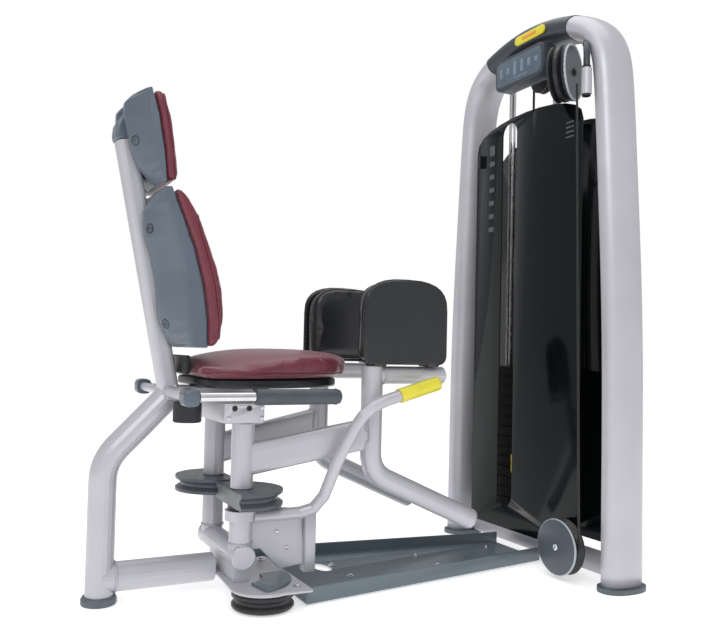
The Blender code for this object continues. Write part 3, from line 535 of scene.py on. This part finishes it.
def ring_weld(name, node, centre, axis, radius, body, bead=0.0032, count=72):
    """Bead round a joint: points of a ring pressed on to the node's surface."""
    tree = surface(NODES[node])
    turn = on_axis(centre, axis)
    points = []
    for i in range(count):
        a = math.tau * i / count
        ripple = 0.0004 * math.sin(i * 2.4)
        start = turn @ Vector(((radius + ripple) * math.cos(a), (radius + ripple) * math.sin(a), 0.0))
        points.append(tree.find_nearest(start)[0])
    return wire(name, points, bead, "welds", body, closed=True)


# ------------------------------------------------------------------ cushions

def inflated(obj, backing, cap):
    """Swell a closed pad as cloth under pressure, held where it lies on its backing."""
    rest = [v.co.copy() for v in obj.data.vertices]
    board = surface(NODES[backing])
    held = [i for i, co in enumerate(rest) if board.find_nearest(co)[3] < HELD_GAP]
    group = obj.vertex_groups.new(name="held")
    group.add(held, 1.0, "REPLACE")
    cloth = obj.modifiers.new("cloth", "CLOTH")
    cloth.settings.quality = CLOTH_QUALITY
    cloth.settings.mass = CLOTH_MASS
    cloth.settings.tension_stiffness = CLOTH_STRETCH
    cloth.settings.compression_stiffness = CLOTH_STRETCH
    cloth.settings.shear_stiffness = CLOTH_SHEAR
    cloth.settings.bending_stiffness = CLOTH_BEND
    cloth.settings.use_pressure = True
    cloth.settings.uniform_pressure_force = CLOTH_PRESSURE
    cloth.settings.vertex_group_mass = "held"
    cloth.settings.effector_weights.gravity = 0.0
    cloth.point_cache.frame_start = 1
    cloth.point_cache.frame_end = CLOTH_FRAMES
    for number in range(1, CLOTH_FRAMES + 1):
        SCENE.frame_set(number)
    baked(obj)
    SCENE.frame_set(1)
    for vert, start in zip(obj.data.vertices, rest):
        move = vert.co - start
        if move.length > 0.0:
            vert.co = start + move * (cap * math.tanh(move.length / cap) / move.length)


def shrunk_copy(node, name, inset):
    """The CAD pad's solid, a little smaller all round, remeshed for the cloth."""
    mesh = NODES[node].data.copy()
    mesh.name = name
    obj = bpy.data.objects.new(name, mesh)
    SCENE.collection.objects.link(obj)
    low, high = corners(node)
    middle, size = (low + high) / 2, high - low
    scale = Matrix.Diagonal((*((s - 2 * inset) / s for s in size), 1.0))
    mesh.transform(Matrix.Translation(middle) @ scale @ Matrix.Translation(-middle))
    remesh = obj.modifiers.new("remesh", "REMESH")
    remesh.mode = "VOXEL"
    remesh.voxel_size = VOXEL
    baked(obj)
    relax = obj.modifiers.new("relax", "SMOOTH")
    relax.factor = 0.5
    relax.iterations = RELAX_STEPS
    return baked(obj)


def crowned(obj, node, drop):
    """Roll a seat's top down towards its rim, as foam under a stretched cover is."""
    low, high = corners(node)
    middle, half = (low + high) / 2, (high - low) / 2
    for vert in obj.data.vertices:
        rise = (vert.co.z - low.z) / (high.z - low.z)
        across = (vert.co.y - middle.y) / half.y
        along = (vert.co.x - middle.x - CROWN_FORWARD * half.x) / half.x
        rim = min(CROWN_LIMIT, across * across + CROWN_ALONG * along * along)
        vert.co.z -= drop * max(rise, 0.0) * rim ** CROWN_POWER


def seam_path(obj, centre, heading, height):
    """Closed path round a pad where its skin is at a height along its outward axis."""
    tree = surface(obj)
    a, b = [i for i in range(3) if i != heading]
    path = []
    for k in range(SEAM_POINTS):
        angle = math.tau * k / SEAM_POINTS
        out = Vector((0, 0, 0))
        out[a], out[b] = math.cos(angle), math.sin(angle)
        level = height(centre)
        hit = None
        for _ in range(3):
            start = centre + out * REACH
            start[heading] = level
            found = tree.ray_cast(start, -out)[0]
            if found is None:
                break
            hit = found
            level = height(hit)
        if hit is not None:
            path.append(hit)
    return path


def pressed_seam(obj, path, depth=0.0020, width=0.0034):
    """Pull the surface in along a seam."""
    tree = KDTree(len(path))
    for i, point in enumerate(path):
        tree.insert(point, i)
    tree.balance()
    spots = [(v.co.copy(), v.normal.copy()) for v in obj.data.vertices]
    for vert, (place, normal) in zip(obj.data.vertices, spots):
        gap = tree.find(place)[2]
        if gap < 4 * width:
            vert.co = place - normal * depth * math.exp(-(gap / width) ** 2)


def joined(obj, other):
    """Take another object's mesh into this one."""
    bm = bmesh.new()
    bm.from_mesh(obj.data)
    bm.from_mesh(other.data)
    bm.to_mesh(obj.data)
    bm.free()
    bpy.data.objects.remove(other)


def make_cushion(node, name, backing, cap, heading, seams, inset=0.003, drop=0.0):
    """Simulated pad with pressed seams and piping, in place of one CAD solid."""
    obj = shrunk_copy(node, name, inset)
    if drop:
        crowned(obj, node, drop)
    inflated(obj, backing, cap)
    mod = obj.modifiers.new("fine", "SUBSURF")
    mod.levels = 1
    mod.render_levels = 1
    obj.vertex_groups.clear()
    baked(obj)
    low, high = corners(node)
    for height in seams:
        path = seam_path(obj, (low + high) / 2, heading, height)
        if len(path) > SEAM_LEAST:
            pressed_seam(obj, path)
            joined(obj, wire("welt", path, WELT_RADIUS, SKIN_OF[node], None, closed=True))
    obj.data.materials.clear()
    obj.data.materials.append(SKINS[SKIN_OF[node]])
    obj.data.shade_smooth()
    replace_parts(obj, node)
    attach(obj, BODY_OF[node])


def above_board(node, heading, direction, offset):
    """Height function: a set distance in front of the board that a pad lies on."""
    tree = surface(NODES[node])
    low, high = corners(node)

    def height(point):
        inside = Vector([min(high[i] - BOARD_EDGE, max(low[i] + BOARD_EDGE, point[i])) for i in range(3)])
        inside[heading] = direction * BOARD_REACH
        inside.y *= 0.5
        aim = Vector((0, 0, 0))
        aim[heading] = -direction
        hit = tree.ray_cast(inside, aim)[0]
        return (hit[heading] if hit else point[heading]) + direction * offset
    return height


def knee_piping(side, outward):
    """Piping round the outer face of a knee pad's board, flat along its foot."""
    board = f"pad_back_{side}"
    low, high = corners(board)
    face = low.y + KNEE_PIPING_IN if outward < 0 else high.y - KNEE_PIPING_IN
    base = corners(f"knee_pad_{side}")[0].z - KNEE_PIPING_DROP
    rim = seam_path(NODES[board], (low + high) / 2, 1, lambda p: face)
    rim = [Vector((p.x, p.y, max(p.z, base))) for p in rim]
    cord = wire(f"knee_piping_{side}", rim, KNEE_PIPING_RADIUS, "vinyl_black", f"{side}_arm", closed=True)


def make_cushions():
    """Every upholstered pad, with the cap on its swelling and the places of its seams."""
    low = corners("seat_cushion")[0]
    make_cushion("seat_cushion", "seat_pad", "seat_pan", 0.006, 2, [lambda p: low.z + 0.012], drop=0.036)
    make_cushion("back_cushion", "back_pad", "back_shell", 0.007, 0,
                 [above_board("back_shell", 0, 1, 0.024)])
    make_cushion("head_cushion", "head_pad", "head_shell", 0.007, 0,
                 [above_board("head_shell", 0, 1, 0.020)])
    for outward, side in SIDES:
        low, high = corners(f"knee_pad_{side}")
        rims = (low.y + 0.008, high.y - 0.014) if outward < 0 else (high.y - 0.008, low.y + 0.014)
        make_cushion(f"knee_pad_{side}", f"knee_cushion_{side}", f"pad_back_{side}", 0.003, 1,
                     [lambda p, rim=rim: rim for rim in rims])
        knee_piping(side, outward)


# ------------------------------------------------------------------- details

def side_of(node, x, z, side):
    """Where a node's surface faces sideways at (x, z), and its outward normal there."""
    at, normal = surface(NODES[node]).ray_cast(Vector((x, side * REACH, z)), -side * Y)[:2]
    if normal.y * side < 0:
        normal = -normal
    return at, normal


def backrest_details():
    """Recessed bolts on the shells' flanks, both sides."""
    cups, screws = bmesh.new(), bmesh.new()
    for node, x, z in SHELL_BOLTS:
        for side in (-1, 1):
            at, normal = side_of(node, x, z, side)
            add_turned(cups, BOLT_CUP, at, normal, 28)
            add_screw(screws, at - normal * SCREW_SUNK, normal, 0.0060, 0.0028)
    piece("shell_cups", cups, "black_plastic", "frame")
    piece("shell_screws", screws, "wheel_face", "frame")


def add_label(bm, outline, x, y, z, thickness, bevel=0.0):
    """Add a plate that faces the seat: its back at x, its front nearer the seat by its thickness."""
    add_plate(bm, outline, (x, y, z), -Y, Z, thickness, bevel)


def display_details():
    """The display's body, its screen and its blank marks."""
    low, high = corners("display")
    centre, size = (low + high) / 2, high - low
    body, screen, marks = bmesh.new(), bmesh.new(), bmesh.new()
    add_label(body, rounded(size.y, size.z, 0.022), high.x, centre.y, centre.z,
              size.x - BODY_SET_BACK, 0.005)
    add_label(screen, rounded(size.y - SCREEN_MARGIN, size.z - SCREEN_MARGIN, 0.015),
              low.x + 0.004, centre.y, centre.z, 0.0032, 0.0010)
    marks_x = low.x + 0.0012
    for i, tall in enumerate(DISPLAY_BARS):
        y = centre.y - (BAR_FIRST + BAR_PITCH * i)
        add_label(marks, rounded(0.013, tall, 0.002), marks_x, y, centre.z + 0.004, PRINT)
    add_label(marks, rounded(0.060, 0.003, 0.001), marks_x, centre.y - 0.010, centre.z - 0.024, PRINT)
    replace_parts(piece("display_body", body, "cap_dark", "frame"), "display")
    piece("display_screen", screen, "screen", "frame")
    piece("display_marks", marks, "print_grey", "frame")


def badge_details():
    """A blank pill with a plain middle."""
    low, high = corners("badge")
    centre, size = (low + high) / 2, high - low
    pill, heart = bmesh.new(), bmesh.new()
    add_label(pill, rounded(size.y, size.z, 0.0128, 8), high.x, centre.y, centre.z, size.x, 0.0016)
    add_label(heart, rounded(0.062, 0.010, 0.0049, 6), low.x + 0.0004, centre.y, centre.z,
              0.0007, 0.0002)
    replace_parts(piece("badge_pill", pill, "yellow_plastic", "frame"), "badge")
    piece("badge_heart", heart, "orange_plastic", "frame")


def shield_details():
    """Blank placards and a latch on the front shield."""
    x = corners("front_shield")[0].x - LABEL_SUNK
    cards, latch = bmesh.new(), bmesh.new()
    for i in range(PLACARDS):
        tall = 0.014 if i else 0.030
        add_label(cards, rounded(0.024, tall, 0.002), x, 0.106, 1.190 - PLACARD_PITCH * i, PRINT)
    for i in range(LINES):
        add_label(cards, rounded(0.030, 0.004, 0.001), x, -0.232, 1.196 - LINE_PITCH * i, PRINT)
    add_label(latch, rounded(0.014, 0.040, 0.005), x, 0.168, 1.168, 0.006, 0.0015)
    piece("shield_cards", cards, "placard", "frame")
    piece("shield_latch", latch, "black_plastic", "frame")


def cable_guide_details():
    """The tube beside the post, its cuffs and the arm above it."""
    tube, cuffs = bmesh.new(), bmesh.new()
    for bm, profile, segments in ((tube, GUIDE_TUBE, 32), (cuffs, LOWER_CUFF, 24), (cuffs, UPPER_CUFF, 24)):
        add_turned(bm, profile, GUIDE_AT, Z, segments)
    piece("cable_guide", tube, "silver_paint", "frame")
    piece("cable_guide_cuffs", cuffs, "black_plastic", "frame")
    wire("cable_guide_arm", GUIDE_ARM, 0.0085, "cap_dark", "frame", sides=16)


def wheel_details():
    """Rims, faces and nuts of the two outer pulleys; the rims are light grey as a painted highlight along
    the pulleys' edges.
    """
    joint = JOINTS["top_wheel_spin"]
    axis, hub = Vector(joint["axis"]), Vector(joint["pos_m"])
    rim, nut = bmesh.new(), bmesh.new()
    add_turned(rim, TOP_RIM, hub, axis, 72)
    add_hex(nut, hub, -axis, 0.0075, 0.006, 0.012)
    piece("top_wheel_rim", rim, "painted_rim_highlight", "top_wheel")
    piece("top_wheel_nut", nut, "black_plastic", "top_wheel")

    low, high = corners("bottom_pulley")
    hub = Vector((low.x, (low.y + high.y) / 2, (low.z + high.z) / 2))
    radius = (high.z - low.z) / 2
    lip = radius - 0.0022
    face, rim, nut = bmesh.new(), bmesh.new(), bmesh.new()
    add_turned(face, [(0.0, 0.0004), (0.0, -0.0012), (radius - 0.004, -0.0012), (lip, -0.0004),
                      (lip, 0.0004), (0.0, 0.0004)], hub, X, 72)
    add_turned(rim, [(lip, -0.0006), (radius - 0.0002, 0.0006), (radius + 0.0006, 0.0032),
                     (radius - 0.0015, 0.0040), (lip, -0.0006)], hub, X, 72)
    add_screw(nut, hub - X * 0.001, -X, 0.0085, 0.004)
    piece("bottom_wheel_face", face, "wheel_face", "bottom_wheel")
    piece("bottom_wheel_rim", rim, "painted_rim_highlight", "bottom_wheel")
    piece("bottom_wheel_nut", nut, "bright_steel", "bottom_wheel")


def base_bolts():
    """Bolts and pins round the pivots and on the tray."""
    bolts, dark = bmesh.new(), bmesh.new()
    tray_top = corners("base_tray")[0].z + TRAY_SHEET
    for x in TRAY_BOLTS_X:
        for y in (-TRAY_BOLT_Y, TRAY_BOLT_Y):
            add_hex(bolts, Vector((x, y, tray_top)), Z, 0.006, 0.005, 0.009)
    for x, y in BASE_PLATE_BOLTS:
        add_hex(bolts, Vector((x, y, BASE_PLATE_TOP)), Z, 0.0065, 0.0055, 0.010)
    for side in (-1, 1):
        add_turned(dark, POST_CAP, Vector((PIVOT.x, side * PIVOT.y, POST_TOP)), Z, 24)
    low, high = corners("gusset_plate")
    pin = Vector((high.x - 0.0145, low.y + 0.016, high.z - 0.023))
    add_turned(dark, HINGE_PIN, pin, Z, 20)
    for finish, y, places, radius, height in SIDE_SCREWS:
        target = bolts if finish == "bright" else dark
        for x, z in places:
            add_screw(target, Vector((x, y, z)), -Y, radius, height)
    piece("base_bolts", bolts, "bright_steel", "frame")
    piece("base_pins", dark, "black_plastic", "frame")


def frame_welds():
    """Weld beads where the frame's and the arms' tubes meet."""
    ring_weld("weld_rear_rail", "seat_frame", Vector((0.032, 0.0, 0.0565)), X, 0.034, "frame")
    for side, name in SIDES:
        at = Vector((PIVOT.x, side * PIVOT.y, CROSS_TUBE_TOP))
        ring_weld(f"weld_cross_{name}", "pivot_base", at, Z, 0.0275, "frame")
    for side, name in SIDES:
        arm, body = f"arm_frame_{name}", f"{name}_arm"
        ring_weld(f"weld_pad_tube_{name}", arm, Vector((0.624, side * 0.153, 0.5175)), X, 0.0225,
                  body, 0.0024)
        ring_weld(f"weld_beam_{name}", arm, Vector((0.573, side * 0.150, 0.372)), X, 0.033,
                  body, 0.0028)


def grip_details():
    """A raised ring at each end of the hand grips."""
    for _, name in SIDES:
        low, high = corners(f"handle_grip_{name}")
        middle = (low + high) / 2
        rings = bmesh.new()
        for x in (low.x + 0.004, high.x - 0.016):
            add_turned(rings, GRIP_RING, Vector((x, middle.y, middle.z)), X, 40)
        piece(f"grip_rings_{name}", rings, "black_rubber", "frame")


def cable():
    """Steel cable above the stack; the real one shortens as the stack rises, this piece keeps one length on
    the frame.
    """
    low, high = corners("lift_cable")
    x, y = (low.x + high.x) / 2, (low.y + high.y) / 2
    length = high.z - low.z
    points = [(x, y, low.z + length * i / CABLE_STEPS) for i in range(CABLE_STEPS + 1)]
    radius = (high.x - low.x) / 2 - CABLE_SLIMMER
    rope = wire("stack_cable", points, radius, "cable", "frame", sides=12)
    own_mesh(rope)
    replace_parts(rope, "lift_cable")


def finer_frame():
    """Round the visible nodes more finely than the CAD solids do."""
    for node in ("tower_post_right", "tower_post_left", "top_cap", "tower_foot_right", "tower_foot_left"):
        sculpted(node, 1.0, 50.0)
    for node in ("head_shell", "back_shell", "upright_cap"):
        sculpted(node, 0.55, 16.0, 3)
    for node in ("pad_back_right", "pad_back_left"):
        fine_edges(node, 0.005, 50.0, 3)
    for node in ("pivot_head", "base_tray", "gusset_plate", "pivot_base_plate", "tower_crossbar",
                 "front_shield", "rear_shield", "seat_pan", "sector_plate"):
        fine_edges(node)


# -------------------------------------------------------------------- studio

def camera():
    """The camera at the photograph's viewing angle."""
    yaw, pitch, roll = CAMERA_YAW, CAMERA_PITCH, CAMERA_ROLL
    ahead = Vector((math.sin(yaw) * math.cos(pitch), math.cos(yaw) * math.cos(pitch), math.sin(pitch)))
    right = Vector((math.cos(yaw), -math.sin(yaw), 0.0))
    up = right.cross(ahead)
    across = math.cos(roll) * right + math.sin(roll) * up
    rise = -math.sin(roll) * right + math.cos(roll) * up
    data = bpy.data.cameras.new("camera")
    data.sensor_fit = "HORIZONTAL"
    data.sensor_width = SENSOR_WIDTH
    data.lens = FOCAL * SENSOR_WIDTH
    data.clip_end = CLIP_END
    cam = bpy.data.objects.new("camera", data)
    turn = Matrix((across, rise, -ahead)).transposed().to_4x4()
    cam.matrix_world = Matrix.Translation(CAMERA_AT) @ turn
    SCENE.collection.objects.link(cam)
    SCENE.camera = cam


def softbox(name, at, aim, size, power):
    """Rectangular area lamp at one point, facing another."""
    data = bpy.data.lights.new(name, "AREA")
    data.shape = "RECTANGLE"
    data.size, data.size_y = size
    data.energy = power
    lamp = bpy.data.objects.new(name, data)
    look = (Vector(aim) - Vector(at)).to_track_quat("-Z", "Y")
    lamp.matrix_world = Matrix.Translation(at) @ look.to_matrix().to_4x4()
    SCENE.collection.objects.link(lamp)


def studio():
    """Pale floor, white surround, dimmer light from the surround than it looks, two softboxes."""
    SCENE.view_settings.view_transform = "Standard"
    bm = bmesh.new()
    bmesh.ops.create_grid(bm, x_segments=2, y_segments=2, size=FLOOR_HALF)
    bmesh.ops.translate(bm, vec=FLOOR_AT, verts=bm.verts)
    SKINS["floor"] = plain_floor("floor", (0.90, 0.90, 0.90))
    piece("floor", bm, "floor", None)
    world = bpy.data.worlds.new("studio")
    world.use_nodes = True
    tree = world.node_tree
    lit = tree.nodes["Background"]
    lit.inputs["Color"].default_value = (0.97, 0.98, 1.0, 1.0)
    lit.inputs["Strength"].default_value = SURROUND
    seen = tree.nodes.new("ShaderNodeBackground")
    seen.inputs["Color"].default_value = (1.0, 1.0, 1.0, 1.0)
    ray = tree.nodes.new("ShaderNodeLightPath")
    mix = tree.nodes.new("ShaderNodeMixShader")
    tree.links.new(ray.outputs["Is Camera Ray"], mix.inputs["Fac"])
    tree.links.new(lit.outputs["Background"], mix.inputs[1])
    tree.links.new(seen.outputs["Background"], mix.inputs[2])
    tree.links.new(mix.outputs["Shader"], tree.nodes["World Output"].inputs["Surface"])
    SCENE.world = world
    softbox("key", (-1.3, -2.8, 3.0), (0.5, 0.0, 0.5), (2.4, 1.8), KEY_POWER)
    softbox("top", (0.6, 0.3, 4.0), (0.6, 0.0, 0.0), (4.0, 4.0), TOP_POWER)


camera()
studio()
dress_frame()
finer_frame()
make_cushions()
backrest_details()
display_details()
badge_details()
shield_details()
cable_guide_details()
wheel_details()
base_bolts()
frame_welds()
grip_details()
cable()
